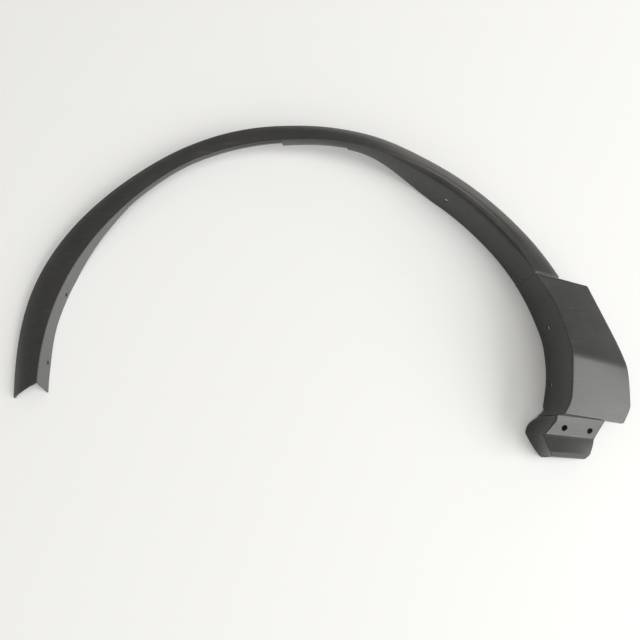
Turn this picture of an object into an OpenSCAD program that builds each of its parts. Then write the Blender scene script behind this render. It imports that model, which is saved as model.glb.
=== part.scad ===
// Wheel arch trim for the front wing of a compact car, moulded in one piece.
// X runs along the car, Y up the car's side and Z outwards, with the wheel side edges on Z = 0.

/* [Opening edge] */
// Radius of the opening edge on the short front arm
front_r = 404; // [380:1:430]
// Radius of the opening edge over the wheel
crown_r = 367; // [350:1:390]
// Radius of the opening edge on the long rear arm
rear_r = 484; // [450:1:520]
// Direction of the front arm's end, seen from its own centre
front_end_a = 184; // [176:0.5:188]
// Direction where the front radius meets the crown radius
front_crown_a = 120; // [110:1:130]
// Direction where the crown radius meets the rear radius
crown_rear_a = 78; // [70:1:86]
// Direction where the rear arm meets the end panel
panel_a = 29.4; // [24:0.2:34]
// Height of the opening edge on the front arm
front_h = 30; // [24:1:40]
// Height of the opening edge on the rear arm
rear_h = 64; // [50:1:80]

/* [Band] */
// Wall of the moulding
wall = 2.8; // [2:0.1:4]
// Width of the band over the wheel
crown_w = 35; // [30:0.5:50]
// Width of the band on the front arm
front_w = 56; // [40:1:75]
// Width of the band where it meets the end panel
rear_w = 37; // [32:0.5:50]
// Width that the band loses towards the front end
front_taper = 9; // [0:1:16]
// Height of the body side edge at the front end
edge_h_front = 8; // [6:0.5:14]
// Height of the body side edge beside the end panel
edge_h_rear = 48; // [40:1:56]
// Depth of the turned-in rim below the inside of the wall
rim_h = 2; // [1.5:0.5:3]
// Rise of the band's crown above its chord
band_crown = 2.5; // [0:0.5:6]
// Slant of the front end along the body side edge
end_slant_edge = 19; // [0:1:30]
// Slant of the front end along the wheel side edge
end_slant_foot = 12.5; // [0:0.5:25]
// Reach of the fold's rounding where the fold is crisp
crisp_fold = 2.2; // [1:0.1:4]
// Reach of the fold's rounding on the rear arm
soft_fold = 14; // [4:1:20]

/* [Wheel side flange] */
// Lean of the flange from upright
flange_draft = 7; // [2:0.5:12]
// Depth of the flange over the wheel
lip_depth = 8; // [6:0.5:12]
// Depth of its slightly deeper middle stretch
lip_depth_mid = 10.5; // [6:0.5:14]
// Depth of the front flange beside its notch
notch_depth = 13; // [9:0.5:18]
// Direction where the front flange starts to taper
taper_a = 156; // [148:1:162]
// Direction of the notch at the end of that taper
notch_a = 137; // [132:0.5:142]
// Direction where the deeper middle stretch starts
mid_front_a = 92; // [86:1:98]
// Direction where the deeper middle stretch ends
mid_rear_a = 75; // [72:1:80]
// Direction where the rear flange has reached its full depth
full_a = 55; // [48:1:62]

/* [End panel] */
// Length of the panel from the step to its lower edge
panel_l = 222; // [190:1:260]
// Width of the panel along its top edge
panel_top_w = 97; // [85:1:110]
// Reach of the panel's widest part behind the step
panel_reach = 140; // [125:1:160]
// Drop of the top edge's outer corner
top_drop = 10.5; // [6:0.5:16]
// Height of the panel's fold at its ridge
ridge_h = 80; // [72:1:95]
// Height of the panel's outer edge at its ridge
ridge_edge_h = 46; // [40:1:56]
// Distance of the ridge below the step
ridge_y = 146; // [120:1:165]
// Height of the panel's fold at its lower edge
base_h = 66; // [60:1:74]
// Height of the panel's outer corner at the top edge
top_edge_h = 31; // [26:1:38]
// Height of the panel's outer corner at the lower edge
base_edge_h = 37; // [30:1:44]
// Height of the step between band and panel
step_h = 3; // [1.5:0.5:4]

/* [Lower end] */
// Depth of the joggle between the panel and the screw tab
joggle = 6; // [4:0.5:8]
// Length of the screw tab down its slope
tab_l = 27; // [22:1:34]
// Fall of the tab towards its lower edge
tab_fall = 9; // [5:0.5:14]
// Depth of the ledge below the tab's lower edge
ledge_drop = 6; // [4:0.5:9]
// Length of the ledge between the tab and the lip
ledge_l = 25; // [18:1:30]
// Rise of the ledge towards the lip
ledge_rise = 5; // [0:0.5:9]
// Height of the shallow arch in the foot's lower edge
foot_gap_h = 6; // [0:1:10]
// Length of the sloping lip
lip_l = 6.6; // [5:0.2:12]

/* [Holes] */
// Diameter of the screw holes in the wheel side flange
flange_hole_d = 6; // [4:0.5:7]
// Height of the two holes in the front flange
front_hole_h = 9; // [7:0.5:14]
// Height of the hole in the rear flange
rear_hole_h = 26; // [16:1:40]
// Height of the upper hole beside the panel
upper_hole_h = 28; // [16:1:45]
// Height of the lower hole beside the panel
lower_hole_h = 13; // [10:1:30]
// Diameter of the screw holes in the tab
tab_hole_d = 9; // [6:0.5:11]

/* [Gussets] */
// Thickness of the gussets inside the fold
gusset_t = 1.8; // [1.2:0.1:3]

/* [Hidden] */

// Blends used by the curves below: 0 to 1 with level ends, and a straight mix of two values.
function clamp01(t) = min(1, max(0, t));
function ease(t) = let (c = clamp01(t)) c * c * (3 - 2 * c);
function mix(a, b, t) = a + (b - a) * t;
function unit(v) = v / norm(v);
function steps(a, b, n) = concat([for (i = [0:n - 1]) mix(a, b, i / n)], [b]);

// Height at x of a curve through [x, height] points, level with its neighbours' chords.
function slope(p, i) =
    let (a = max(i - 1, 0), b = min(i + 1, len(p) - 1)) (p[b][1] - p[a][1]) / (p[b][0] - p[a][0]);
function span_at(p, x, i = 0) = i >= len(p) - 2 || x <= p[i + 1][0] ? i : span_at(p, x, i + 1);
function curve(p, x) =
    let (
        i = span_at(p, x),
        w = p[i + 1][0] - p[i][0],
        t = clamp01((x - p[i][0]) / w),
        a = p[i][1],
        b = p[i + 1][1]
    )
    mix(a, b, ease(t))
        + w * t * (1 - t) * ((1 - t) * slope(p, i) - t * slope(p, i + 1));

// The opening edge in side view: three arcs that meet tangentially, each point set by its direction.
function heading(a) = [cos(a), sin(a)];
crown_c = [0, 0];
front_c = crown_c + (crown_r - front_r) * heading(front_crown_a);
rear_c = crown_c + (crown_r - rear_r) * heading(crown_rear_a);
function opening(a) =
    a > front_crown_a ? front_c + front_r * heading(a)
    : a > crown_rear_a ? crown_c + crown_r * heading(a)
    : rear_c + rear_r * heading(a);

// A section holds the fold, the body side edge and the wheel side edge as 3D points, the travel
// direction, the fold's reach, the band's crown, the flange's hollow and the wall's setback.
function section(fold, edge, foot, go, reach, crown, hollow = 0, setback = 0) =
    [fold, edge, foot, go, reach, crown, hollow, setback];

// Arch: heights, widths and leads along the opening edge
panel_step_h = rear_h - step_h;
function arch_h(a) = mix(front_h, rear_h, ease((115 - a) / 70));
function arch_w(a) =
    crown_w + (front_w - crown_w) * ease((a - 112) / 50)
        - front_taper * ease((a - 162) / (front_end_a - 162))
        + (rear_w - crown_w) * ease((50 - a) / (50 - panel_a));
function edge_h(a) =
    mix(edge_h_front, edge_h_rear, pow(clamp01((front_end_a - a) / (front_end_a - panel_a)), 1.3));
edge_lead = rear_w * tan(panel_a + atan(top_drop / panel_top_w));
function lead_to_edge(a) =
    edge_lead * pow(clamp01((58 - a) / (58 - panel_a)), 2)
        - end_slant_edge * pow(clamp01((a - 150) / (front_end_a - 150)), 2);
function lead_to_foot(a) = -end_slant_foot * pow(clamp01((a - 160) / (front_end_a - 160)), 2);
function arch_section(a, depth, setback = 0) =
    let (
        out = heading(a),
        go = [out.y, -out.x],
        h = arch_h(a),
        d = min(depth, h),
        lead = lead_to_edge(a),
        plan = opening(a),
        edge = plan + arch_w(a) * out + lead * go,
        foot = plan - d * tan(flange_draft) * out + lead_to_foot(a) * go,
        soft = ease((70 - a) / 14) * ease((a - panel_a) / 8)
    )
    section([plan.x, plan.y, h], [edge.x, edge.y, edge_h(a)], [foot.x, foot.y, h - d],
        [go.x, go.y, 0], mix(crisp_fold, soft_fold, soft), mix(band_crown, 2 * band_crown, soft),
        0, setback);

// Depth of the wheel side flange along each stretch of the arch
full = front_h + rear_h;
notch_gap_a = 0.35;
arch_sections = concat(
    [for (a = steps(front_end_a, taper_a, 6)) arch_section(a, full)],
    [for (a = steps(taper_a - 4, notch_a, 4))
        arch_section(a, mix(arch_h(taper_a), notch_depth, (taper_a - a) / (taper_a - notch_a)))],
    [for (a = steps(notch_a - notch_gap_a, mid_front_a, 10)) arch_section(a, lip_depth)],
    [for (a = steps(mid_front_a - notch_gap_a, mid_rear_a, 4)) arch_section(a, lip_depth_mid)],
    [for (a = steps(mid_rear_a - notch_gap_a, full_a, 6))
        arch_section(a, mix(lip_depth, arch_h(full_a), ease((mid_rear_a - a) / (mid_rear_a - full_a))))],
    [for (a = steps(full_a - 3, panel_a, 7)) arch_section(a, full, a == panel_a ? wall : 0)]
);

// End panel: measured from the step at the opening edge, x away from the wheel and y downwards
origin = opening(panel_a);
function at(x, y, z) = [origin.x + x, origin.y - y, z];
panel_fold_x = [
    [0, 0], [0.24 * panel_l, 0.18 * panel_reach], [0.55 * panel_l, 0.282 * panel_reach],
    [0.66 * panel_l, 0.281 * panel_reach], [0.865 * panel_l, 0.262 * panel_reach],
    [0.93 * panel_l, 0.237 * panel_reach], [panel_l, 0.178 * panel_reach]
];
edge_end_y = panel_l + 11.5;
panel_edge_x = [
    [top_drop, panel_top_w], [0.46 * panel_l, 0.906 * panel_reach], [0.62 * panel_l, 0.974 * panel_reach],
    [0.73 * panel_l, 0.998 * panel_reach], [0.89 * panel_l, panel_reach],
    [0.955 * panel_l, 0.99 * panel_reach], [edge_end_y, 0.914 * panel_reach]
];
foot_x = [
    [0, -10], [0.155 * panel_l, 0.053 * panel_reach], [0.31 * panel_l, 0.16 * panel_reach],
    [0.47 * panel_l, 0.23 * panel_reach], [0.645 * panel_l, 0.238 * panel_reach],
    [0.77 * panel_l, 0.209 * panel_reach], [0.925 * panel_l, 0.155 * panel_reach],
    [0.96 * panel_l, 0.143 * panel_reach], [panel_l, 0.068 * panel_reach]
];
// A roof with a rounded ridge: straight falls on both sides of the ridge, blended over its width
ridge_blend = 16;
function roof(y, y0, h0, y1, top, y2, h2) =
    let (up = (top - h0) / (y1 - y0), down = (top - h2) / (y2 - y1), g = y - y1)
    top - (g < 0 ? -g * up : g * down)
        - (up + down) / 4 * pow(max(0, ridge_blend - abs(g)), 2) / ridge_blend;
function foot_lift(y) = foot_gap_h * max(0, 1 - pow((y - panel_l - 1) / 14, 2));
function panel_go(y) =
    let (d = 4) unit([curve(panel_fold_x, y + d) - curve(panel_fold_x, y - d), -2 * d, 0]);
function panel_section(y, setback = 0) =
    let (
        t = y / panel_l,
        ye = mix(top_drop, edge_end_y, t),
        fold = at(curve(panel_fold_x, y), y, roof(y, 0, panel_step_h, ridge_y, ridge_h, panel_l, base_h)),
        edge = at(curve(panel_edge_x, ye), ye,
            roof(ye, top_drop, top_edge_h, ridge_y, ridge_edge_h, edge_end_y, base_edge_h)),
        foot = at(curve(foot_x, y), y, foot_lift(y))
    )
    section(fold, edge, foot, panel_go(y), crisp_fold, 1, 3 * t, setback);

// Step: the band's end stands proud of the panel, whose top edge runs on past it
step_run = 1.2;
band_end = arch_sections[len(arch_sections) - 1];
step_foot = section(
    [band_end[0].x, band_end[0].y - step_run, panel_step_h],
    band_end[1] - [0, step_run, 0.4], band_end[2] - [0, step_run, 0],
    band_end[3], crisp_fold, 1, 0, wall);
panel_sections = [for (y = steps(step_run + 1, panel_l, 18)) panel_section(y, y == panel_l ? wall : 0)];

// Lower end: y runs on below the panel, and each outline is a curve of it
tab_y = 2.5;
tab_end_y = tab_y + tab_l;
ledge_y = tab_end_y + 1;
lip_y = ledge_y + ledge_l;
tip_y = lip_y + lip_l;
low_fold_x = [
    [tab_y, 16], [tab_y + 0.3 * tab_l, 14.5], [tab_y + 0.65 * tab_l, 7.5], [tab_end_y, 0],
    [ledge_y + 0.2 * ledge_l, 1], [lip_y, 6], [tip_y, 9.5]
];
low_edge_x = [[tab_y, 99.5], [tab_end_y, 84.5], [ledge_y, 87], [lip_y, 76.5], [tip_y, 72]];
low_drop = [[tab_y, 6.3], [tab_end_y, 6.3], [lip_y, 3.6], [tip_y, 3.3]];
low_foot_x = [
    [tab_y, 7.5], [tab_y + 0.33 * tab_l, -3.8], [tab_y + 0.83 * tab_l, -10.6], [tab_end_y + 1, -9.5],
    [lip_y - 4, 1.4], [tip_y, 9]
];
tab_h = base_h - joggle;
function low_fall(y) =
    y <= tab_end_y ? tab_fall * (y - tab_y) / tab_l
    : y <= lip_y ? tab_fall + ledge_drop - ledge_rise * (y - ledge_y) / ledge_l
    : tab_fall + ledge_drop - ledge_rise + (y - lip_y);
function low_section(y, hollow = 3, setback = 0) =
    section(
        at(curve(low_fold_x, y), panel_l + y, tab_h - low_fall(y)),
        at(curve(low_edge_x, y), panel_l + y + curve(low_drop, y), base_edge_h - low_fall(y)),
        at(curve(low_foot_x, y), panel_l + y, foot_lift(panel_l + y)),
        [0, -1, 0], crisp_fold, 0.4, hollow, setback);
rim_run = 0.6;
panel_end = panel_section(panel_l);
panel_rim = section(
    panel_end[0] - [0, rim_run, joggle - 1], panel_end[1] - [0, rim_run, joggle - 1],
    panel_end[2] - [0, rim_run, 0], panel_end[3], crisp_fold, 1, 3, wall);
tip_wall = 8;
tip = low_section(tip_y);
tip_foot = section(
    tip[0] - [-2, 1.5, tip_wall], tip[1] - [0, 1.5, tip_wall], tip[2] - [-4, 3, 0],
    tip[3], crisp_fold, 0.4, 0, wall);
low_sections = concat(
    [for (y = steps(tab_y, tab_end_y, 5)) low_section(y, 4, y == tab_end_y ? wall : 0)],
    [low_section(tab_end_y + 1, 4, wall)],
    [for (y = steps(ledge_y + 5, lip_y, 3)) low_section(y)],
    [for (y = steps(lip_y + 1.5, tip_y, 2)) low_section(y, 3, y == tip_y ? wall : 0)],
    [tip_foot]
);

sections = concat(
    arch_sections, [step_foot], panel_sections, [panel_rim], low_sections
);

// Skins: points of a section from the wheel side edge over the fold to the rim, outside and inside
flange_parts = 3;
fold_parts = 4;
band_parts = 4;
edge_round = 1;
function bend(a, b, c, t) = mix(mix(a, b, t), mix(b, c, t), t);
function skin(fold, edge, foot, rim, in_flange, in_band, reach, crown, hollow, round_by) =
    let (a = foot - fold, b = edge - fold, ua = unit(a), ub = unit(b))
    concat(
        [for (f = steps(1, 0.25, flange_parts - 1)) fold + a * f + in_flange * hollow * 4 * f * (1 - f)],
        [for (t = steps(0, 1, fold_parts - 1)) bend(fold + ua * reach, fold, fold + ub * reach, t)],
        [for (f = steps(0.2, 0.97, band_parts - 1))
            fold + ub * mix(reach, norm(b) - round_by, f) - in_band * crown * 4 * f * (1 - f)],
        [edge - ub * round_by, edge - unit(edge - rim) * round_by, rim]
    );
function skins(s) =
    let (
        fold = s[0], edge = s[1], foot = s[2], go = s[3],
        a = foot - fold,
        b = edge - fold,
        in_flange = unit(cross(go, a)),
        in_band = unit(cross(b, go)),
        in_rim = -unit([b.x, b.y, 0]),
        rim = edge - [0, 0, 1.3 * wall + rim_h],
        back = -go * s[7],
        fold_in = fold + wall * (in_flange + in_band) / (1 + in_flange * in_band) + back,
        edge_in = edge + wall * (in_band + in_rim) / (1 + in_band * in_rim) + back,
        foot_in = foot + wall * in_flange - a * (wall * in_flange.z / a.z) + back,
        rim_in = rim + wall * in_rim + back
    )
    concat(
        skin(fold, edge, foot, rim, in_flange, in_band, s[4], s[5], s[6], edge_round),
        skin(fold_in, edge_in, foot_in, rim_in, in_flange, in_band,
            max(s[4] - 0.9 * wall, 0.6), s[5], s[6], 0.2)
    );
skin_count = flange_parts + fold_parts + band_parts + 3;
shell_points = [for (s = sections) each skins(s)];

// Faces: the loop of points round each section, joined to the next section's, and the two ends
loop = concat(
    [for (k = [0:skin_count - 1]) k],
    [for (k = [skin_count - 1:-1:0]) skin_count + k]
);
function ring(r, k) = r * 2 * skin_count + k;
last = len(sections) - 1;
shell_faces = concat(
    [for (r = [0:last - 1], k = [0:len(loop) - 1])
        let (p = loop[k], q = loop[(k + 1) % len(loop)])
        each [[ring(r, p), ring(r, q), ring(r + 1, q)], [ring(r, p), ring(r + 1, q), ring(r + 1, p)]]],
    [for (k = [0:skin_count - 2])
        let (m = skin_count + k)
        each [[k + 1, k, m], [k + 1, m, m + 1]]],
    [for (k = [0:skin_count - 2])
        let (a = ring(last, k), m = ring(last, skin_count + k))
        each [[a, a + 1, m + 1], [a, m + 1, m]]]
);

// The frame's origin: the middle of the trim's plan, on the plane that it rests on
function span(i) = let (v = [for (p = shell_points) p[i]]) [min(v), max(v)];
middle = [(span(0)[0] + span(0)[1]) / 2, (span(1)[0] + span(1)[1]) / 2, span(2)[0]];

// Wheel side holes: a section and the hole's height give its place and its direction into the wall
function flange_spot(s, h) =
    let (
        a = s[2] - s[0],
        f = (s[0].z - h) / (s[0].z - s[2].z),
        into = unit(cross(s[3], a))
    )
    [s[0] + a * f + into * s[6] * 4 * f * (1 - f), into];
flange_spots = [
    flange_spot(arch_section(front_end_a - 5.8, full), front_hole_h),
    flange_spot(arch_section(front_end_a - 21.6, full), front_hole_h),
    flange_spot(arch_section(51.8, full), rear_hole_h),
    flange_spot(panel_section(0.378 * panel_l), upper_hole_h),
    flange_spot(panel_section(0.782 * panel_l), lower_hole_h)
];
// Tab holes: both on one ruling of the tab, at two shares of its width
tab_row = low_section(tab_y + 0.6 * tab_l);
tab_next = low_section(tab_y + 0.6 * tab_l + 1);
tab_axis = unit(cross(tab_row[1] - tab_row[0], tab_next[0] - tab_row[0]));
tab_spots = [for (f = [0.27, 0.81]) [mix(tab_row[0], tab_row[1], f), tab_axis]];

// Gussets: thin webs inside the fold, cut to the line through the middle of the wall
function wall_middle(s) =
    let (p = skins(s)) [for (k = [1:flange_parts + fold_parts + 1]) (p[k] + p[skin_count + k]) / 2];
gusset_sections = concat(
    [for (a = [front_end_a - 13, front_end_a - 25, 46, 38]) arch_section(a, full)],
    [for (y = [0.16, 0.58, 0.9]) panel_section(y * panel_l)]
);

module shell() {
    polyhedron(points = shell_points, faces = shell_faces, convexity = 12);
}

module bore(spot, d) {
    v = spot[1];
    translate(spot[0])
        rotate([0, acos(v.z), atan2(v.y, v.x)])
            cylinder(d = d, h = 6 * wall, center = true, $fn = 48);
}

module gusset(s) {
    x = unit(s[1] - s[0]);
    z = unit(cross(s[1] - s[0], s[2] - s[0]));
    y = cross(z, x);
    p = s[0];
    multmatrix([[x.x, y.x, z.x, p.x], [x.y, y.y, z.y, p.y], [x.z, y.z, z.z, p.z], [0, 0, 0, 1]])
        linear_extrude(height = gusset_t, center = true)
            polygon([for (q = wall_middle(s)) [(q - p) * x, (q - p) * y]]);
}

module wheel_arch_trim() {
    color([0.17, 0.17, 0.165])
        translate(-middle)
            difference() {
                union() {
                    shell();
                    for (s = gusset_sections) gusset(s);
                }
                for (spot = flange_spots) bore(spot, flange_hole_d);
                for (spot = tab_spots) bore(spot, tab_hole_d);
            }
}

wheel_arch_trim();
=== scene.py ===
import math

import bpy
import numpy as np
from mathutils import Matrix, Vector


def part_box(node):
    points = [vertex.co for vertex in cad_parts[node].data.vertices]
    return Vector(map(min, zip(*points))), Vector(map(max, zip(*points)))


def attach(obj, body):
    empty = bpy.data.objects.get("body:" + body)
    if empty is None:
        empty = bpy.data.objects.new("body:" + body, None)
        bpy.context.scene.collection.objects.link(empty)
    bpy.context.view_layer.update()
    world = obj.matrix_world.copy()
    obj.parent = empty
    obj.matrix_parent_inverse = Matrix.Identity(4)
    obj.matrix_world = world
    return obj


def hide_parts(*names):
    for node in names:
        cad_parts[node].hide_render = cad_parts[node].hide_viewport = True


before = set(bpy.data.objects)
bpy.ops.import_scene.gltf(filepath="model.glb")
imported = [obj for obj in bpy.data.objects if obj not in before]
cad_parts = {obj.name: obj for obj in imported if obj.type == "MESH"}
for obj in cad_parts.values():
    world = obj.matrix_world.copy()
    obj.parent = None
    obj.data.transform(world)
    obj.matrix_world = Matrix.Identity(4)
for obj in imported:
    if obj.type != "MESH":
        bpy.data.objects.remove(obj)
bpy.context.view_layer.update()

print("frame loaded")

# Sizes of the moulding in millimetres, directions in degrees from the crown's centre.
# They follow the part's own source, with finer sizes from the photograph.
trimShape = {
    "wall": 2.8,
    "middle": (51.3122, 118.088),  # the frame's origin, seen from the crown's centre
    # Opening edge: three arcs, the directions where they meet, and the heights that it rises between
    "frontR": 404.0, "crownR": 367.0, "rearR": 484.0,
    "frontEndA": 184.0, "frontCrownA": 120.0, "crownRearA": 78.0, "panelA": 29.4,
    "frontH": 30.0, "rearH": 64.0, "riseA": 115.0, "riseSpan": 70.0,
    # How far it lies outside those arcs, by direction
    "departures": [(36, 0), (41, -0.8), (50, -1), (60, -0.8), (70, 2.4), (80, 0.2), (90, -1.7),
                   (100, -0.4), (110, 1), (119, 1.3), (130, -1.5), (140, -2.6), (150, -1.9), (160, -1.2),
                   (184, -1)],
    # Band: widths, and the directions where they change
    "crownW": 34.0, "frontW": 56.0, "rearW": 35.5, "frontTaper": 9.0,
    "widenA": 112.0, "widenSpan": 50.0, "taperOffA": 162.0, "rearWidenA": 50.0,
    # Outer edge: heights with the power of their rise, the rim below it, and the slants of both ends
    "edgeHFront": 8.0, "edgeHRear": 51.0, "edgeRise": 1.3, "rimH": 2.0, "rimWalls": 1.3,
    "endSlantEdge": 19.0, "edgeSlantA": 150.0, "endSlantFoot": 12.5, "footSlantA": 160.0,
    "rearSlantA": 58.0,
    # Fold: how far its rounding reaches, where it turns soft, and the bow of the band beside it
    "crispFold": 2.2, "softFold": 14.0, "softA": 70.0, "softSpan": 14.0, "softEndSpan": 8.0,
    "bandCrown": 2.5, "softFlatter": 0.3,
    # Flange: leans with the directions where they change, its end's turn inwards, depths, and its bulge
    "frontDraft": 1.0, "rearDraft": 8.0, "frontDraftA": 150.0, "rearDraftA": 90.0,
    "endTurn": 4.2, "turnStartA": 168.5, "turnFullA": 180.0,
    "lipDepth": 9.0, "notchLipDepth": 11.5, "lipDepthMid": 15.5, "lipDepthRear": 19.0,
    "lipBulge": 1.4, "notchDepth": 13.0, "notchGapA": 0.35,
    "taperA": 158.0, "notchA": 137.0, "midFrontA": 92.0, "midRearA": 75.0, "fullA": 53.0,
    # Step down to the panel, and the panel with its ridge
    "stepH": 2.5, "stepRun": 2.5, "stepEdgeH": 1.5, "stepEase": 0.25, "stepGap": 1.0,
    "panelL": 222.0, "panelTopW": 97.0, "panelReach": 140.0, "topDrop": 10.5, "baseDrop": 11.5,
    "ridgeH": 79.1, "ridgeEdgeH": 46.0, "ridgeY": 136.0, "ridgeBlend": 7.0,
    "baseH": 66.0, "topEdgeH": 31.0, "baseEdgeH": 37.0, "panelCrown": 1.0, "panelHollow": 3.0,
    # The panel's fold, edge and wheel side edge: shares of its length, then of its reach
    "foldShares": [(0, 0), (0.24, 0.18), (0.55, 0.282), (0.66, 0.281), (0.865, 0.262), (0.93, 0.237),
                   (1, 0.178)],
    "edgeShares": [(0.46, 0.906), (0.62, 0.974), (0.73, 0.998), (0.89, 1), (0.955, 0.99)],
    "edgeEndShare": 0.914, "footStartX": -10,
    "footShares": [(0.155, 0.044), (0.31, 0.135), (0.47, 0.204), (0.645, 0.219), (0.77, 0.203),
                   (0.925, 0.151), (0.96, 0.139), (1, 0.068)],
    # Joggled tab, ledge, lip and foot below the panel
    "joggle": 6.0, "rimRun": 0.6, "rimDrop": 5.0, "lowCrown": 0.4,
    "tabY": 2.5, "tabL": 27.0, "tabFall": 9.0, "tabHollow": 4.0,
    "ledgeGap": 1.0, "ledgeDrop": 6.0, "ledgeL": 25.0, "ledgeRise": 5.0, "ledgeHollow": 3.0,
    "footGapH": 6.0, "footGapY": 1.0, "footGapSpan": 14.0, "lipGap": 0.4, "lipL": 6.6,
    # The foot's last section from the lip's: fold x, y, z, then edge y, z, then wheel side edge x, y
    "tipMoves": (2.0, -1.5, -8.0, -1.5, -8.0, 4.0, -3.0),
}
# How finely the skin is sampled, and the roundings that the solids leave out
trimSkin = {
    "flangeCuts": 9, "foldCuts": 8, "bandCuts": 22, "cornerCuts": 4,
    "archRuns": (44, 30, 6, 66, 6, 28, 6, 36, 60), "panelRuns": 130,
    "tabRuns": 22, "ledgeRuns": 22, "lipRuns": 10,
    "stepCuts": 6, "joggleCuts": 3, "ledgeFade": 6, "lipFade": 4,
    "edgeRound": 1.5, "footRound": 0.9, "rimRound": 0.8, "innerRound": 0.4, "endBevel": 0.5,
    "foldWalls": 0.9, "foldLeast": 0.6, "sharpAngle": 38.0,
}
trimHoles = {"flangeR": 3.0, "tabR": 4.5, "chamfer": 0.35, "over": 4.0, "sides": 48}
tabCollars = {"height": 7.0, "wall": 2.0, "bevel": 0.4}
trimGussets = {
    "thickness": 1.8, "frontTurns": (13, 25), "rearAs": (46, 38), "panelShares": (0.16, 0.58, 0.9),
    "bandShare": 0.42,
}
fullDepth = 200.0  # more than any flange has, so it takes the whole height of the edge
# Columns of a section: fold 0 to 2, edge 3 to 5, foot 6 to 8, travel direction 9 to 11, then these
reachAt, crownAt, hollowAt, setbackAt = 12, 13, 14, 15


def ease(t):  # 0 to 1 with level ends: three squares less two cubes
    c = np.clip(t, 0, 1)
    return c * c * (3 - 2 * c)


def mix(a, b, t):
    return a + (b - a) * t


def ramp(a, start, stop):  # 0 to 1 between two directions, which may fall
    return np.clip((a - start) / (stop - start), 0, 1)


def unit(v):
    return v / np.linalg.norm(v, axis=-1, keepdims=True)


def curveThrough(points, x):
    # An eased mix of the two points round x, plus each end's chord slope, weighted towards that end
    p = np.array(points, float)
    n = len(p) - 1
    before, after = np.maximum(np.arange(n + 1) - 1, 0), np.minimum(np.arange(n + 1) + 1, n)
    slope = (p[after, 1] - p[before, 1]) / (p[after, 0] - p[before, 0])
    i = np.clip(np.searchsorted(p[:, 0], x, side="left") - 1, 0, n - 1)
    width = p[i + 1, 0] - p[i, 0]
    t = np.clip((x - p[i, 0]) / width, 0, 1)
    bow = width * t * (1 - t) * ((1 - t) * slope[i] - t * slope[i + 1])
    return mix(p[i, 1], p[i + 1, 1], ease(t)) + bow


def heading(a):  # unit vectors in plan for directions in degrees
    r = np.radians(a)
    return np.stack([np.cos(r), np.sin(r)], -1)


s = trimShape
frontC = (s["crownR"] - s["frontR"]) * heading(s["frontCrownA"])
rearC = (s["crownR"] - s["rearR"]) * heading(s["crownRearA"])


def openingEdge(a):
    # Three arcs in plan that meet tangentially, each point set by its direction
    a = np.asarray(a, float)[..., None]
    h = heading(a[..., 0])
    front, crown, rear = frontC + s["frontR"] * h, s["crownR"] * h, rearC + s["rearR"] * h
    arcs = np.where(a > s["frontCrownA"], front, np.where(a > s["crownRearA"], crown, rear))
    return arcs + curveThrough(s["departures"], a[..., 0])[..., None] * h


def rows(fold, edge, foot, go, reach, crown, hollow):
    # One row a section: fold, edge, foot and travel direction, then four plain numbers, with no setback yet
    n = len(fold)
    plain = [np.broadcast_to(np.asarray(v, float), (n,))[:, None] for v in (reach, crown, hollow, 0.0)]
    return np.concatenate([fold, edge, foot, go] + plain, axis=1)


def lifted(plan, z):  # plan points with their heights
    return np.concatenate([plan, np.broadcast_to(np.asarray(z, float), (len(plan),))[:, None]], axis=1)


def archH(a):
    return mix(s["frontH"], s["rearH"], ease((s["riseA"] - a) / s["riseSpan"]))


def archDepth(a):
    # Full on both arms, tapered to a notch at the front, shallow over the wheel
    notch = mix(archH(s["taperA"]), s["notchDepth"], ramp(a, s["taperA"], s["notchA"]))
    lip = mix(s["notchLipDepth"], s["lipDepth"], ramp(a, s["notchA"], s["midFrontA"]))
    down = ease(ramp(a, s["midRearA"], s["fullA"]))
    gap = s["notchGapA"]
    depth = np.where(a >= s["taperA"], archH(a), notch)
    depth = mix(depth, lip, ease((s["notchA"] - a) / gap))
    depth = mix(depth, s["lipDepthMid"], ease((s["midFrontA"] - a) / gap))
    depth = mix(depth, s["lipDepthRear"], ease((s["midRearA"] - a) / gap))
    return np.where(a < s["midRearA"] - gap, mix(s["lipDepthRear"], archH(a), down), depth)


def archWidth(a):
    return (s["crownW"] + (s["frontW"] - s["crownW"]) * ease((a - s["widenA"]) / s["widenSpan"])
            - s["frontTaper"] * ease((a - s["taperOffA"]) / (s["frontEndA"] - s["taperOffA"]))
            + (s["rearW"] - s["crownW"]) * ease((s["rearWidenA"] - a) / (s["rearWidenA"] - s["panelA"])))


def slant(a, start, end):  # how far a corner has moved along the band, as a square from start to end
    return np.clip((a - start) / (end - start), 0, 1) ** 2


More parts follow.
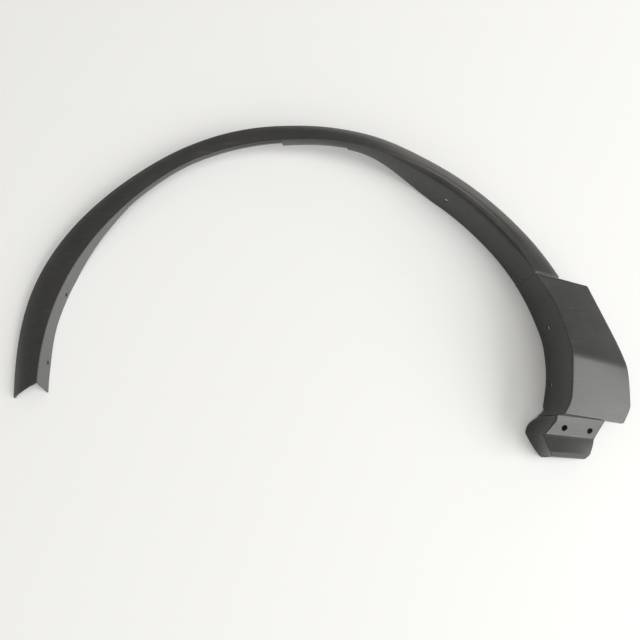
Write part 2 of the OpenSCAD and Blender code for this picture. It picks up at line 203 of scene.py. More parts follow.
def archRows(a, depth=None):
    # A section across the band at each direction, drawn along the radius of its own arc
    a = np.atleast_1d(np.asarray(a, float))
    out = heading(a)
    go = np.stack([out[:, 1], -out[:, 0]], -1)
    h = archH(a)
    d = np.minimum(archDepth(a) if depth is None else depth, h)
    share = np.clip((s["frontEndA"] - a) / (s["frontEndA"] - s["panelA"]), 0, 1)
    edgeZ = mix(s["edgeHFront"], s["edgeHRear"], share ** s["edgeRise"])
    edgeLead = s["rearW"] * math.tan(math.radians(s["panelA"]) + math.atan(s["topDrop"] / s["panelTopW"]))
    lead = (edgeLead * slant(a, s["rearSlantA"], s["panelA"])
            - s["endSlantEdge"] * slant(a, s["edgeSlantA"], s["frontEndA"]))
    footLead = -s["endSlantFoot"] * slant(a, s["footSlantA"], s["frontEndA"])
    plan = openingEdge(a)
    edge = plan + archWidth(a)[:, None] * out + lead[:, None] * go
    draft = mix(s["frontDraft"], s["rearDraft"], ease(ramp(a, s["frontDraftA"], s["rearDraftA"])))
    footIn = d * np.tan(np.radians(draft)) + s["endTurn"] * ease(ramp(a, s["turnStartA"], s["turnFullA"]))
    foot = plan - footIn[:, None] * out + footLead[:, None] * go
    soft = ease((s["softA"] - a) / s["softSpan"]) * ease((a - s["panelA"]) / s["softEndSpan"])
    bulge = s["lipBulge"] * ease((s["notchA"] - a) / s["notchGapA"])
    bulge *= 1 - ease(ramp(a, s["midRearA"], s["fullA"]))
    return rows(lifted(plan, h), lifted(edge, edgeZ), lifted(foot, h - d), lifted(go, 0.0),
                mix(s["crispFold"], s["softFold"], soft), s["bandCrown"] * (1 - s["softFlatter"] * soft),
                -bulge)


def shareCurve(shares):  # shares of the panel's length and reach in millimetres
    return [(y * s["panelL"], x * s["panelReach"]) for y, x in shares]


origin = openingEdge(np.array([s["panelA"]]))[0]
panelStepH = s["rearH"] - s["stepH"]
edgeEndY = s["panelL"] + s["baseDrop"]
panelFoldX = shareCurve(s["foldShares"])
panelEdgeX = ([(s["topDrop"], s["panelTopW"])] + shareCurve(s["edgeShares"])
              + [(edgeEndY, s["edgeEndShare"] * s["panelReach"])])
footX = [(0, s["footStartX"])] + shareCurve(s["footShares"])


def at(x, y, z):  # panel points: x away from the wheel and y downwards from the step
    x, y, z = np.broadcast_arrays(x, y, z)
    return np.stack([origin[0] + x, origin[1] - y, z], -1)


def roof(y, h0, top, h2):
    # Straight falls on both sides of a ridge, with a parabola between them
    up, down, g = (top - h0) / s["ridgeY"], (top - h2) / (s["panelL"] - s["ridgeY"]), y - s["ridgeY"]
    near = np.maximum(0, s["ridgeBlend"] - np.abs(g)) ** 2 / s["ridgeBlend"]
    return top - np.where(g < 0, -g * up, g * down) - (up + down) / 4 * near


def footLift(y):  # the gap under the wheel side edge: a parabola round the tab's top
    return s["footGapH"] * np.maximum(0, 1 - ((y - s["panelL"] - s["footGapY"]) / s["footGapSpan"]) ** 2)


def panelRows(y):
    y = np.atleast_1d(np.asarray(y, float))
    t = y / s["panelL"]
    ye = mix(s["topDrop"], edgeEndY, t)
    fold = at(curveThrough(panelFoldX, y), y, roof(y, panelStepH, s["ridgeH"], s["baseH"]))
    edge = at(curveThrough(panelEdgeX, ye), ye, roof(y, s["topEdgeH"], s["ridgeEdgeH"], s["baseEdgeH"]))
    foot = at(curveThrough(footX, y), y, footLift(y))
    apart = 4.0  # how far up and down the fold is looked at for the direction of travel
    run = curveThrough(panelFoldX, y + apart) - curveThrough(panelFoldX, y - apart)
    go = unit(np.stack([run, np.full(len(y), -2 * apart), np.zeros(len(y))], -1))
    return rows(fold, edge, foot, go, s["crispFold"], s["panelCrown"], s["panelHollow"] * t)


tabEndY = s["tabY"] + s["tabL"]
ledgeY = tabEndY + s["ledgeGap"]
lipY = ledgeY + s["ledgeL"]
tipY = lipY + s["lipL"]
# Below the panel, by distance down: the fold, the edge and its drop, and the wheel side edge
lowFoldX = [(s["tabY"], 16), (s["tabY"] + 0.3 * s["tabL"], 14.5), (s["tabY"] + 0.65 * s["tabL"], 7.5),
            (tabEndY, 0), (ledgeY + 0.2 * s["ledgeL"], 1), (lipY, 6), (tipY, 9.5)]
lowEdgeX = [(s["tabY"], 99.5), (tabEndY, 84.5), (ledgeY, 87), (lipY, 76.5), (tipY, 72)]
lowDrop = [(s["tabY"], 6.3), (tabEndY, 6.3), (lipY, 3.6), (tipY, 3.3)]
lowFootX = [(s["tabY"], 7.5), (s["tabY"] + 0.33 * s["tabL"], -3.8), (s["tabY"] + 0.83 * s["tabL"], -10.6),
            (ledgeY, -9.5), (lipY - 4, 1.4), (tipY, 9)]


def lowFall(y):  # how far the tab, then the ledge, then the lip lie below the tab's top
    base = s["tabFall"] + s["ledgeDrop"]
    return np.where(y <= tabEndY, s["tabFall"] * (y - s["tabY"]) / s["tabL"],
                    np.where(y <= lipY, base - s["ledgeRise"] * (y - ledgeY) / s["ledgeL"],
                             base - s["ledgeRise"] + (y - lipY)))


def lowRows(y, hollow):
    y = np.atleast_1d(np.asarray(y, float))
    fall = lowFall(y)
    fold = at(curveThrough(lowFoldX, y), s["panelL"] + y, s["baseH"] - s["joggle"] - fall)
    edge = at(curveThrough(lowEdgeX, y), s["panelL"] + y + curveThrough(lowDrop, y), s["baseEdgeH"] - fall)
    foot = at(curveThrough(lowFootX, y), s["panelL"] + y, footLift(s["panelL"] + y))
    go = np.broadcast_to([0.0, -1.0, 0.0], fold.shape)
    return rows(fold, edge, foot, go, s["crispFold"], s["lowCrown"], hollow)


def between(first, second, cuts, eased=1.0):
    # Rows from one section to the next: plan in a straight run, heights on a step eased by that share
    t = np.linspace(0, 1, cuts + 2)[1:-1, None]
    out = mix(first, second, t)
    for k in (2, 5, 8):
        out[:, k] = mix(first[k], second[k], mix(t[:, 0], ease(t[:, 0]), eased))
    return out


def shifted(row, columns, amounts):  # a copy of one section with some of its numbers moved
    out = row.copy()
    out[list(columns)] += amounts
    return out


def allRows():
    # Every section of the moulding, from the front arm's end to the foot
    k, wall, gap = trimSkin, s["wall"], s["notchGapA"]
    turns = [s["frontEndA"], s["taperA"], s["notchA"], s["notchA"] - gap, s["midFrontA"],
             s["midFrontA"] - gap, s["midRearA"], s["midRearA"] - gap, s["fullA"], s["panelA"]]
    a = np.concatenate([np.linspace(p, q, n + 1) for p, q, n in zip(turns, turns[1:], k["archRuns"])])
    arch = archRows(np.unique(a.round(6))[::-1])
    arch[-3:, setbackAt] = (0.0, 0.5 * wall, wall)
    end = arch[-1]
    # the step moves the fold's and the edge's y and z, and the foot's y
    moved = (1, 2, 4, 5, 7)
    run, fall = -s["stepRun"], panelStepH - end[2]
    step = shifted(end, moved, (run, fall, run, -s["stepEdgeH"], run))
    step[reachAt:] = (s["crispFold"], s["panelCrown"], 0.0, wall)
    panel = panelRows(np.linspace(s["stepRun"] + s["stepGap"], s["panelL"], k["panelRuns"]))
    panel[-1, setbackAt] = wall
    last = panel[-1]
    run, fall = -s["rimRun"], -s["rimDrop"]
    rim = shifted(last, moved, (run, fall, run, fall, run))
    tab = lowRows(np.linspace(s["tabY"], tabEndY, k["tabRuns"]), s["tabHollow"])
    tab[-1, setbackAt] = wall
    ledge = lowRows(np.linspace(ledgeY, lipY, k["ledgeRuns"]), s["ledgeHollow"])
    fade = k["ledgeFade"]
    ledge[:fade, setbackAt] = wall * np.linspace(1, 0, fade)
    ledge[:fade, hollowAt] = np.linspace(s["tabHollow"], s["ledgeHollow"], fade)
    lip = lowRows(np.linspace(lipY + s["lipGap"], tipY, k["lipRuns"]), s["ledgeHollow"])
    lip[-k["lipFade"]:, setbackAt] = wall * np.linspace(0, 1, k["lipFade"])
    tip = shifted(lip[-1], (0, 1, 2, 4, 5, 6, 7), s["tipMoves"])
    tip[hollowAt] = 0.0
    cuts = k["stepCuts"]
    return np.concatenate([
        arch, between(end, step, cuts, s["stepEase"]), step[None],
        panel, between(last, rim, cuts), rim[None], between(rim, tab[0], k["joggleCuts"]),
        tab, between(tab[-1], ledge[0], cuts), ledge, lip, between(lip[-1], tip, cuts), tip[None]])


def bend(a, b, c, t):  # a quadratic arc from a to c that leans on b
    return mix(mix(a, b, t), mix(b, c, t), t)


def skinLine(corners, inwards, sides, row, reach, roundBy):
    # One skin across each section: foot corner, flange, rounded fold, band, rounded edge, rim corner
    k = trimSkin
    (fold, edge, foot, rim), (inFlange, inBand), (footSide, rimSide) = corners, inwards, sides
    footRound, rimRound = k["footRound"], k["rimRound"]
    a, b = foot - fold, edge - fold
    ua, ub, ur = unit(a), unit(b), unit(rim - edge)
    la, lb = np.linalg.norm(a, axis=1), np.linalg.norm(b, axis=1)
    hollow, crown = row[:, hollowAt, None], row[:, crownAt, None]
    line = []
    toFold = foot - ua * footRound
    for t in np.linspace(0.5, 1, k["cornerCuts"] // 2 + 1)[:-1]:
        line.append(bend(foot + footSide * footRound, foot, toFold, t))
    f0, f1 = (reach / la)[:, None], (1 - footRound / la)[:, None]
    for t in np.linspace(0, 1, k["flangeCuts"]):
        f = mix(f1, f0, t)
        line.append(fold + a * f + inFlange * hollow * 4 * t * (1 - t))
    for t in np.linspace(0, 1, k["foldCuts"] + 1)[1:]:
        line.append(bend(fold + ua * reach[:, None], fold, fold + ub * reach[:, None], t))
    for t in np.linspace(0, 1, k["bandCuts"] + 1)[1:]:
        away = mix(reach, lb - roundBy, t)[:, None]
        line.append(fold + ub * away - inBand * crown * 4 * t * (1 - t))
    for t in np.linspace(0, 1, k["cornerCuts"] + 1)[1:]:
        line.append(bend(edge - ub * roundBy, edge, edge + ur * roundBy, t))
    for t in np.linspace(0, 1, k["cornerCuts"] // 2 + 1)[:-1] / 2:
        line.append(bend(rim - ur * rimRound, rim, rim + rimSide * rimRound, t))
    return np.stack(line, 1)


def bothSkins(row):
    # The outer skin and, a wall inside it, the inner one. Returns two arrays of section, point, xyz
    k, wall = trimSkin, s["wall"]
    fold, edge, foot, go = row[:, 0:3], row[:, 3:6], row[:, 6:9], row[:, 9:12]
    a, b = foot - fold, edge - fold
    inFlange, inBand = unit(np.cross(go, a)), unit(np.cross(b, go))
    inRim = -unit(b * [1, 1, 0])
    rim = edge - [0, 0, s["rimWalls"] * wall + s["rimH"]]
    back = -go * row[:, setbackAt, None]
    dot = lambda p, q: np.sum(p * q, axis=1, keepdims=True)
    foldIn = fold + wall * (inFlange + inBand) / (1 + dot(inFlange, inBand)) + back
    edgeIn = edge + wall * (inBand + inRim) / (1 + dot(inBand, inRim)) + back
    footIn = foot + wall * inFlange - a * (wall * inFlange[:, 2:3] / a[:, 2:3]) + back
    rimIn = rim + wall * inRim + back
    reach = row[:, reachAt]
    reachIn = np.maximum(reach - k["foldWalls"] * wall, k["foldLeast"])
    inwards = (inFlange, inBand)
    outer = skinLine((fold, edge, foot, rim), inwards, (unit(footIn - foot), unit(rimIn - rim)),
                     row, reach, k["edgeRound"])
    inner = skinLine((foldIn, edgeIn, footIn, rimIn), inwards, (unit(foot - footIn), unit(rim - rimIn)),
                     row, reachIn, k["innerRound"])
    return outer, inner


def placed(points):  # millimetres from the crown's centre to metres in the frame
    return (points - [s["middle"][0], s["middle"][1], 0.0]) * 0.001


def meshObject(name, points, faces, smooth=True):
    mesh = bpy.data.meshes.new(name)
    mesh.from_pydata(points.reshape(-1, 3).tolist(), [], [list(map(int, f)) for f in faces])
    mesh.validate()
    mesh.update()
    mesh.polygons.foreach_set("use_smooth", np.full(len(mesh.polygons), smooth))
    obj = bpy.data.objects.new(name, mesh)
    bpy.context.scene.collection.objects.link(obj)
    return obj


def loopFaces(count, around):
    # Quads between neighbouring loops of points, each loop closed on itself
    r, k = np.meshgrid(np.arange(count - 1), np.arange(around), indexing="ij")
    n = (k + 1) % around
    quads = np.stack([r * around + k, r * around + n, (r + 1) * around + n, (r + 1) * around + k], -1)
    return quads.reshape(-1, 4)


def trimBody():
    # The closed shell: outer skin, back along the inner skin, and a strip of quads over each end
    row = allRows()
    outer, inner = bothSkins(row)
    count, width = outer.shape[:2]
    ring = np.concatenate([outer, inner[:, ::-1]], axis=1)
    # both ends are drawn in a little over a last short run, which breaks their sharp corners
    bevel = trimSkin["endBevel"]
    centre = (outer + inner) / 2
    core = np.concatenate([centre, centre[:, ::-1]], axis=1)
    firstEnd, lastEnd = (ring[n] + (core[n] - ring[n]) * bevel / s["wall"] * 2 for n in (0, -1))
    ring[0] += row[0, 9:12] * bevel
    ring[-1] -= row[-1, 9:12] * bevel
    ring = np.concatenate([firstEnd[None], ring, lastEnd[None]])
    around, total = 2 * width, count + 2
    faces = loopFaces(total, around)
    k = np.arange(width - 1)
    cap = np.stack([k + 1, k, around - 1 - k, around - 2 - k], -1)
    faces = np.concatenate([faces, cap, (cap + (total - 1) * around)[:, ::-1]])
    points = placed(ring)
    lo, hi = (np.array(c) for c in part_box("wheel_arch_trim"))
    points = np.clip(points, lo, hi)  # hundredths of a millimetre, where arcs bulge past the solid's chords
    print("skin", ring.shape)
    return meshObject("TrimBody", points, faces)


def meshArray(items, field, width, kind=float):  # a field of a mesh's items, in rows of that width
    out = np.empty(len(items) * width, dtype=kind)
    items.foreach_get(field, out)
    return out.reshape(-1, width) if width > 1 else out


def signedVolume(obj):
    mesh = obj.data
    mesh.calc_loop_triangles()
    p = meshArray(mesh.vertices, "co", 3)[meshArray(mesh.loop_triangles, "vertices", 3, np.int64)]
    return float(np.einsum("ij,ij->i", p[:, 0], np.cross(p[:, 1], p[:, 2])).sum() / 6)


def facedOutwards(obj):
    if signedVolume(obj) < 0:
        obj.data.flip_normals()
    return obj


def holeSpot(row, height):
    # Where a height cuts the flange, with the direction into the wall
    fold, foot, go = row[0, 0:3], row[0, 6:9], row[0, 9:12]
    a = foot - fold
    f = (fold[2] - height) / (fold[2] - foot[2])
    into = unit(np.cross(go, a))
    return fold + a * f + into * row[0, hollowAt] * 4 * f * (1 - f), into


def gussetWebs():
    # Flat webs in the plane of a section, from the middle of the flange's wall round to the band's
    v, k = trimGussets, trimSkin
    arms = [s["frontEndA"] - turn for turn in v["frontTurns"]] + list(v["rearAs"])
    row = np.concatenate([archRows(arms, fullDepth), panelRows(np.array(v["panelShares"]) * s["panelL"])])
    outer, inner = bothSkins(row)
    first = k["cornerCuts"] // 2 + k["flangeCuts"] // 4
    stop = k["cornerCuts"] // 2 + k["flangeCuts"] + k["foldCuts"] + int(v["bandShare"] * k["bandCuts"])
    line = (outer[:, first:stop] + inner[:, first:stop]) / 2
    normal = unit(np.cross(row[:, 3:6] - row[:, 0:3], row[:, 6:9] - row[:, 0:3]))[:, None]
    flat = line - normal * np.sum((line - row[:, None, 0:3]) * normal, axis=2, keepdims=True)
    points, faces = [], []
    n, half = flat.shape[1], v["thickness"] / 2
    k0 = np.arange(n)
    k1 = (k0 + 1) % n
    for g in range(len(flat)):
        base = 2 * n * g
        points += [flat[g] + normal[g] * half, flat[g] - normal[g] * half]
        faces += [list(range(base, base + n)), list(range(base + 2 * n - 1, base + n - 1, -1))]
        faces += (np.stack([k0, n + k0, n + k1, k1], -1) + base).tolist()
    return facedOutwards(meshObject("GussetWebs", placed(np.concatenate(points)), faces, smooth=False))


def ringsAlong(spot, into, away, radius):
    # Rings of points round an axis, one for each distance along it and its radius
    n = trimHoles["sides"]
    turn = np.radians(np.arange(n) * 360 / n)
    side = unit(np.cross(into, [0.0, 0.0, 1.0]))
    circle = np.cos(turn)[:, None] * side + np.sin(turn)[:, None] * np.cross(into, side)
    return spot + np.array(away)[:, None, None] * into + np.array(radius)[:, None, None] * circle


def turnedPlugs(name, plugs):
    # Closed turned solids from (spot, into, distances, radii), with flat ends
    points, faces = [], []
    n, base = trimHoles["sides"], 0
    for spot, into, away, radius in plugs:
        points.append(ringsAlong(spot, into, away, radius).reshape(-1, 3))
        faces += (loopFaces(len(away), n) + base).tolist()
        last = base + (len(away) - 1) * n
        faces += [list(range(base + n - 1, base - 1, -1)), list(range(last, last + n))]
        base += len(away) * n
    return facedOutwards(meshObject(name, placed(np.concatenate(points)), faces))


def holeCutter(spots):
    # Each plug's radius flares at both faces of the wall, which leaves a chamfer
    c, far = trimHoles["chamfer"], trimHoles["over"]
    plugs = []
    for (spot, into), r, deep in spots:
        away = [-far, 0.0, c, deep - c, deep, deep + far]
        plugs.append((spot, into, away, [r + c + far, r + c, r, r, r + c, r + c + far]))
    return turnedPlugs("HoleCutter", plugs)


def collarBosses(spots):
    # A short boss behind each tab hole, from the middle of the wall, with a broken end edge
    bevel, plugs = tabCollars["bevel"], []
    for (spot, into), r, deep in spots:
        outside = r + tabCollars["wall"]
        plugs.append((spot, into, [s["wall"] / 2, deep - bevel, deep], [outside, outside, outside - bevel]))
    return turnedPlugs("CollarBosses", plugs)


def combine(obj, tool, operation):  # an exact boolean, applied, after which the tool goes
    m = obj.modifiers.new(operation.title(), "BOOLEAN")
    m.operation, m.solver, m.object = operation, "EXACT", tool
    result = bpy.data.meshes.new_from_object(obj.evaluated_get(bpy.context.evaluated_depsgraph_get()))
    obj.modifiers.clear()
    old, obj.data = obj.data, result
    bpy.data.meshes.remove(old)
    bpy.data.objects.remove(tool)
    print(operation.lower(), len(result.vertices), "points")


# The holes' places: turns back from the front arm's end, a direction, shares of the panel, and heights
holePlaces = {
    "frontTurns": (5.8, 21.6), "frontH": 9.0, "rearA": 51.8, "rearH": 26.0,
    "panelShares": (0.378, 0.782), "panelHs": (28.0, 13.0), "tabShare": 0.6, "tabAcross": (0.27, 0.81),
}


def holeSpots():
    # Each hole as its spot with the direction into the wall, its radius and its depth
    v = holePlaces
    spots = [holeSpot(archRows(s["frontEndA"] - turn, fullDepth), v["frontH"]) for turn in v["frontTurns"]]
    spots.append(holeSpot(archRows(v["rearA"], fullDepth), v["rearH"]))
    for share, h in zip(v["panelShares"], v["panelHs"]):
        spots.append(holeSpot(panelRows(share * s["panelL"]), h))
    tabY = s["tabY"] + v["tabShare"] * s["tabL"]
    row, later = lowRows(tabY, s["tabHollow"])[0], lowRows(tabY + 1, s["tabHollow"])[0]
    into = unit(np.cross(row[3:6] - row[0:3], later[0:3] - row[0:3]))
    deep = s["wall"] + tabCollars["height"]
    return ([(spot, trimHoles["flangeR"], s["wall"]) for spot in spots],
            [((mix(row[0:3], row[3:6], share), into), trimHoles["tabR"], deep) for share in v["tabAcross"]])


trim = facedOutwards(trimBody())
combine(trim, gussetWebs(), "UNION")
flangeHoles, tabHoles = holeSpots()
combine(trim, collarBosses(tabHoles), "UNION")
combine(trim, holeCutter(flangeHoles + tabHoles), "DIFFERENCE")
trim.data.polygons.foreach_set("use_smooth", np.full(len(trim.data.polygons), True))
trim.data.set_sharp_from_angle(angle=math.radians(trimSkin["sharpAngle"]))
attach(trim, "root")
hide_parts("wheel_arch_trim")
print("trim made", len(trim.data.polygons), "faces")

# Bends in radians a millimetre, leans as the share of the normal that points up, and where the painted
# light on the standing walls ends, in metres
maskLook = {
    "bendLow": 0.12, "bendHigh": 0.45, "leastApart": 0.3, "spreads": 2, "spreadShare": 0.5,
    "leanLeast": 0.30, "leanMost": 0.55, "paintedLightEndX": 0.15, "paintedLightFade": 0.3,
}


def surfaceMasks(obj):
    # Two point attributes: "edge", 1 where the skin bends tightly, and a mask, 1 on standing walls towards
    # the front arm, where a paler colour is painted in as the light that falls on them; the rear arm's
    # walls, turned from that light, are left out
    v, mesh = maskLook, obj.data
    count, total = len(mesh.polygons), len(mesh.vertices)
    normal, centre = meshArray(mesh.polygons, "normal", 3), meshArray(mesh.polygons, "center", 3)
    owner = np.repeat(np.arange(count), meshArray(mesh.polygons, "loop_total", 1, np.int64))
    edgeOf = meshArray(mesh.loops, "edge_index", 1, np.int64)
    ends = meshArray(mesh.edges, "vertices", 2, np.int64)
    # every edge of a closed skin has two faces
    one, two = owner[np.argsort(edgeOf, kind="stable")].reshape(-1, 2).T
    turn = np.arccos(np.clip(np.sum(normal[one] * normal[two], axis=1), -1, 1))
    apart = np.linalg.norm(centre[one] - centre[two], axis=1) * 1000 + v["leastApart"]
    tight = np.clip((turn / apart - v["bendLow"]) / (v["bendHigh"] - v["bendLow"]), 0, 1)
    sharp = np.zeros(total)
    for k in (0, 1):
        np.maximum.at(sharp, ends[:, k], tight)
    beside = np.bincount(ends.ravel(), minlength=total)
    for _ in range(v["spreads"]):
        around = (np.bincount(ends[:, 0], sharp[ends[:, 1]], total)
                  + np.bincount(ends[:, 1], sharp[ends[:, 0]], total))
        sharp = mix(sharp, around / beside, v["spreadShare"])
    up = np.abs(meshArray(mesh.vertices, "normal", 3)[:, 2])
    # painted light: standing walls, fading out towards the rear arm, are marked to be coloured paler as if
    # lit
    upright = ease((v["leanMost"] - up) / (v["leanMost"] - v["leanLeast"]))
    upright *= ease((v["paintedLightEndX"] - meshArray(mesh.vertices, "co", 3)[:, 0]) / v["paintedLightFade"])
    for name, values in (("edge", sharp), ("upright", upright)):
        mesh.attributes.new(name, "FLOAT", "POINT").data.foreach_set("value", values)


surfaceMasks(trim)

# Materials
plasticLook = {
    "dark": (0.040, 0.040, 0.039, 1), "darkAt": 0.30, "pale": (0.057, 0.056, 0.053, 1), "paleAt": 0.72,
    "dust": (0.085, 0.083, 0.078, 1), "worn": (0.085, 0.084, 0.081, 1), "wornShare": 0.55,
    # painted light: a paler grey for the standing walls towards the front arm, in place of the light that
    # falls on them
    "paintedLight": (0.112, 0.112, 0.110, 1), "paintedLightShare": 0.95,
    "roughLow": 0.29, "roughHigh": 0.38, "roughWorn": 0.24, "specular": 0.5,
}
grainLook = {
    "scale": 950.0, "depth": 0.00005, "low": -0.5, "high": 0.8,
    "cellSmooth": 0.7, "finer": 2.4, "stippleDetail": 3.0, "stippleRough": 0.6,
}
wearLook = {
    "patchScale": 14.0, "patchDetail": 5.0, "patchRough": 0.62, "rubLow": 0.35, "rubHigh": 0.65,
    "scuffTurn": (0.2, 0.1, 0.7), "scuffScale": (30.0, 500.0, 120.0), "scuffDetail": 2.0,
    "scuffLow": 0.60, "scuffHigh": 0.78,
}


def addNode(tree, kind, links=(), **values):
    # A node with its fields and socket values set, and its inputs linked
    node = tree.nodes.new(kind)
    for name, value in values.items():
        if hasattr(node, name):
            setattr(node, name, value)
        else:
            node.inputs[name].default_value = value
    for socket, source in links:
        tree.links.new(source, node.inputs[socket])
    return node


def newGroup(name, inputs, outputs):
    # A node group with its sockets. Returns it, what comes into it and what goes out
    g = bpy.data.node_groups.new(name, "ShaderNodeTree")
    for socket, kind in inputs.items():
        g.interface.new_socket(socket, in_out="INPUT", socket_type="NodeSocket" + kind)
    for socket in outputs:
        g.interface.new_socket(socket, in_out="OUTPUT", socket_type="NodeSocketFloat")
    return g, g.nodes.new("NodeGroupInput").outputs, g.nodes.new("NodeGroupOutput").inputs


def groupNode(tree, group, links, **values):
    node = tree.nodes.new("ShaderNodeGroup")
    node.node_tree = group
    for name, value in values.items():
        node.inputs[name].default_value = value
    for socket, source in links:
        tree.links.new(source, node.inputs[socket])
    return node.outputs


def mixColours(tree, share, first, second):
    # A colour mix whose second colour is plain and whose first is an output, given back as its output
    node = addNode(tree, "ShaderNodeMix", [("Factor", share)], data_type="RGBA")
    colours = [socket for socket in node.inputs if socket.type == "RGBA"]
    tree.links.new(first, colours[0])
    colours[1].default_value = second
    return [socket for socket in node.outputs if socket.type == "RGBA"][0]


def scaled(tree, output, factor):
    node = addNode(tree, "ShaderNodeMath", [(0, output)], operation="MULTIPLY")
    node.inputs[1].default_value = factor
    return node.outputs[0]


def joined(tree, operation, first, second):
    return addNode(tree, "ShaderNodeMath", [(0, first), (1, second)], operation=operation).outputs[0]


def rangeOf(tree, output, low, high):  # 0 to 1 as an output runs from low to high
    node = addNode(tree, "ShaderNodeMapRange", [("Value", output)], **{"From Min": low, "From Max": high})
    return node.outputs[0]


def mouldedGrain():
    # Eroded leather-like cells over a finer stipple, as a height from 0 to 1
    v = grainLook
    g, into, out = newGroup("MouldedGrain", {"Place": "Vector", "Scale": "Float"}, ["Height"])
    cells = addNode(g, "ShaderNodeTexVoronoi", [("Vector", into["Place"]), ("Scale", into["Scale"])],
                    feature="SMOOTH_F1", Smoothness=v["cellSmooth"], Randomness=1.0)
    finer = scaled(g, into["Scale"], v["finer"])
    stipple = addNode(g, "ShaderNodeTexNoise", [("Vector", into["Place"]), ("Scale", finer)],
                      Detail=v["stippleDetail"], Roughness=v["stippleRough"])
    both = joined(g, "SUBTRACT", stipple.outputs["Fac"], cells.outputs["Distance"])
    g.links.new(rangeOf(g, both, v["low"], v["high"]), out["Height"])
    return g


def handlingWear():
    # Broad uneven patches, fine drawn-out scuffs, and the rubbed edges broken up by the patches
    v = wearLook
    g, into, out = newGroup("HandlingWear", {"Place": "Vector", "Patch Scale": "Float", "Edge": "Float"},
                            ["Patches", "Scuffs", "Rubbed"])
    patches = addNode(g, "ShaderNodeTexNoise", [("Vector", into["Place"]), ("Scale", into["Patch Scale"])],
                      Detail=v["patchDetail"], Roughness=v["patchRough"]).outputs["Fac"]
    drawn = addNode(g, "ShaderNodeMapping", [("Vector", into["Place"])],
                    Rotation=v["scuffTurn"], Scale=v["scuffScale"])
    lines = addNode(g, "ShaderNodeTexNoise", [("Vector", drawn.outputs[0])],
                    Scale=1.0, Detail=v["scuffDetail"])
    broken = rangeOf(g, patches, v["rubLow"], v["rubHigh"])
    g.links.new(patches, out["Patches"])
    g.links.new(rangeOf(g, lines.outputs["Fac"], v["scuffLow"], v["scuffHigh"]), out["Scuffs"])
    g.links.new(joined(g, "MULTIPLY", into["Edge"], broken), out["Rubbed"])
    return g


def plasticMaterial():
    v = plasticLook
    m = bpy.data.materials.new("GrainedPlastic")
    m.use_nodes = True
    t = m.node_tree
    p = t.nodes["Principled BSDF"]
    p.inputs["Specular IOR Level"].default_value = v["specular"]
    place = t.nodes.new("ShaderNodeTexCoord").outputs["Object"]
    edge = addNode(t, "ShaderNodeAttribute", attribute_name="edge").outputs["Fac"]
    upright = addNode(t, "ShaderNodeAttribute", attribute_name="upright").outputs["Fac"]
    wear = groupNode(t, handlingWear(), [("Place", place), ("Edge", edge)],
                     **{"Patch Scale": wearLook["patchScale"]})
    grain = groupNode(t, mouldedGrain(), [("Place", place)], Scale=grainLook["scale"])
    # colour: dark and pale patches, painted light as a paler grey on the front arm's standing walls,
    # scuffs, then the worn edges
    patchy = addNode(t, "ShaderNodeValToRGB", [("Fac", wear["Patches"])])
    stops = patchy.color_ramp.elements
    stops[0].position, stops[0].color = v["darkAt"], v["dark"]
    stops[1].position, stops[1].color = v["paleAt"], v["pale"]
    # painted light: the front arm's standing walls are mixed towards a paler grey that stands in for the
    # light falling on them
    paintedLit = mixColours(t, scaled(t, upright, v["paintedLightShare"]), patchy.outputs["Color"], v["paintedLight"])
    scuffed = mixColours(t, wear["Scuffs"], paintedLit, v["dust"])
    worn = mixColours(t, scaled(t, wear["Rubbed"], v["wornShare"]), scuffed, v["worn"])
    t.links.new(worn, p.inputs["Base Color"])
    # roughness: uneven with the patches, smoother where the edges are rubbed
    rough = addNode(t, "ShaderNodeMapRange", [("Value", wear["Patches"])],
                    **{"To Min": v["roughLow"], "To Max": v["roughHigh"]})
    smoother = addNode(t, "ShaderNodeMapRange", [("Value", wear["Rubbed"]), ("To Min", rough.outputs[0])],
                       **{"To Max": v["roughWorn"]})
    t.links.new(smoother.outputs[0], p.inputs["Roughness"])
    bump = addNode(t, "ShaderNodeBump", [("Height", grain["Height"])], Distance=grainLook["depth"])
    t.links.new(bump.outputs[0], p.inputs["Normal"])
    return m


trim.data.materials.clear()
trim.data.materials.append(plasticMaterial())
print("plastic made")

boardLook = {"lit": (0.92, 0.92, 0.915, 1), "rough": 0.6, "glow": 0.13, "half": 3.0}


def boardMaterial():
    # Pale, with a little glow for the camera and for reflections, which keeps its shadows
    v = boardLook
    m = bpy.data.materials.new("PaleBoard")
    m.use_nodes = True
    t = m.node_tree
    p = t.nodes["Principled BSDF"]
    p.inputs["Base Color"].default_value = v["lit"]
    p.inputs["Roughness"].default_value = v["rough"]
    p.inputs["Emission Color"].default_value = v["lit"]
    path = t.nodes.new("ShaderNodeLightPath").outputs
    seen = joined(t, "MAXIMUM", path["Is Camera Ray"], path["Is Glossy Ray"])
    t.links.new(scaled(t, seen, v["glow"]), p.inputs["Emission Strength"])
    return m


def board():
    h = boardLook["half"]
    points = np.array([[-h, -h, 0], [h, -h, 0], [h, h, 0], [-h, h, 0]], float)
    obj = meshObject("Board", points, [[0, 1, 2, 3]], smooth=False)
    obj.data.materials.append(boardMaterial())


board()

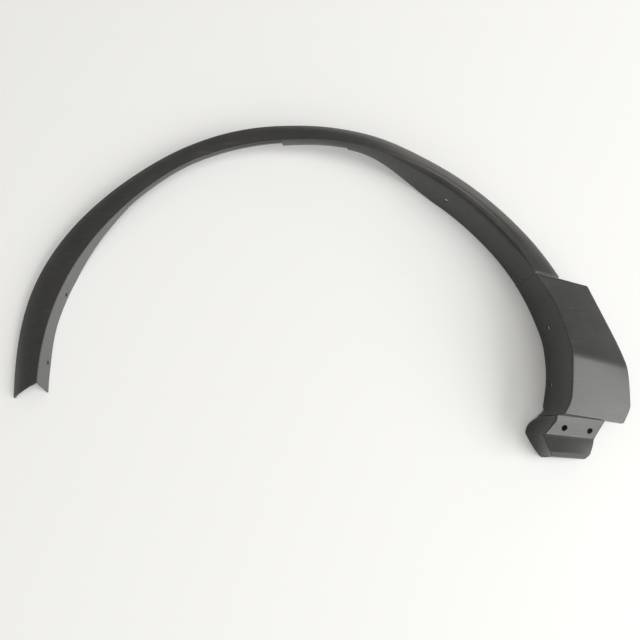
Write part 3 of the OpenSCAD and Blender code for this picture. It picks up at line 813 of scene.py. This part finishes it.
# Camera and lamps
cameraView = {
    "place": (0.00699, -0.27039, 0.860), "tilt": 13.5, "roll": 0.75,
    "lens": 29.81, "sensor": 36.0, "clip": 0.01,
}
white, warm = (1.0, 1.0, 1.0), (1.0, 0.95, 0.87)
lampsLook = {  # directions in degrees, widths and heights in metres, light given off per area and angle
    "away": 8.0, "aim": (0.1, -0.05, 0.0),
    "Window": {"azimuth": -24.0, "elevation": 28.0, "size": (7.2, 4.6), "radiance": 5.2, "colour": white},
    "Side": {"azimuth": -66.0, "elevation": 19.0, "size": (4.0, 3.0), "radiance": 3.4, "colour": white},
    "Wall": {"azimuth": 58.0, "elevation": 12.0, "size": (4.0, 3.0), "radiance": 2.1, "colour": warm},
    "Ceiling": {"azimuth": 0.0, "elevation": 68.0, "size": (4.5, 4.5), "radiance": 2.4, "colour": white},
}
roomLight = {"colour": (1.0, 0.98, 0.89, 1), "strength": 0.25}


def standAt(obj, right, up, back, place):  # places an object by its own three axes
    m = np.eye(4)
    m[:3, 0], m[:3, 1], m[:3, 2], m[:3, 3] = right, up, back, place
    obj.matrix_world = Matrix(m.tolist())
    bpy.context.scene.collection.objects.link(obj)


def camera():
    v = cameraView
    tilt, roll = math.radians(v["tilt"]), math.radians(v["roll"])
    ahead = np.array([0, math.sin(tilt), -math.cos(tilt)])
    right, up = np.array([1.0, 0, 0]), np.array([0, math.cos(tilt), math.sin(tilt)])
    right, up = right * math.cos(roll) + up * math.sin(roll), up * math.cos(roll) - right * math.sin(roll)
    data = bpy.data.cameras.new("Camera")
    data.lens, data.sensor_width, data.clip_start = v["lens"], v["sensor"], v["clip"]
    cam = bpy.data.objects.new("Camera", data)
    standAt(cam, right, up, -ahead, v["place"])
    bpy.context.scene.camera = cam


def lamp(name):
    v = lampsLook[name]
    az, el = math.radians(v["azimuth"]), math.radians(v["elevation"])
    away = np.array([math.cos(az) * math.cos(el), math.sin(az) * math.cos(el), math.sin(el)])
    side = unit(np.cross([0, 0, 1.0], away))
    wide, high = v["size"]
    data = bpy.data.lights.new(name, "AREA")
    data.shape, data.size, data.size_y = "RECTANGLE", wide, high
    data.energy, data.color = math.pi * wide * high * v["radiance"], v["colour"]
    place = away * lampsLook["away"] + lampsLook["aim"]
    standAt(bpy.data.objects.new(name, data), side, np.cross(away, side), away, place)


def room():
    world = bpy.data.worlds.new("Room")
    world.use_nodes = True
    world.node_tree.nodes["Background"].inputs[0].default_value = roomLight["colour"]
    world.node_tree.nodes["Background"].inputs[1].default_value = roomLight["strength"]
    bpy.context.scene.world = world


camera()
for name in ("Window", "Side", "Wall", "Ceiling"):
    lamp(name)
room()
bpy.context.scene.view_settings.view_transform = "Standard"
print("camera and lamps made")
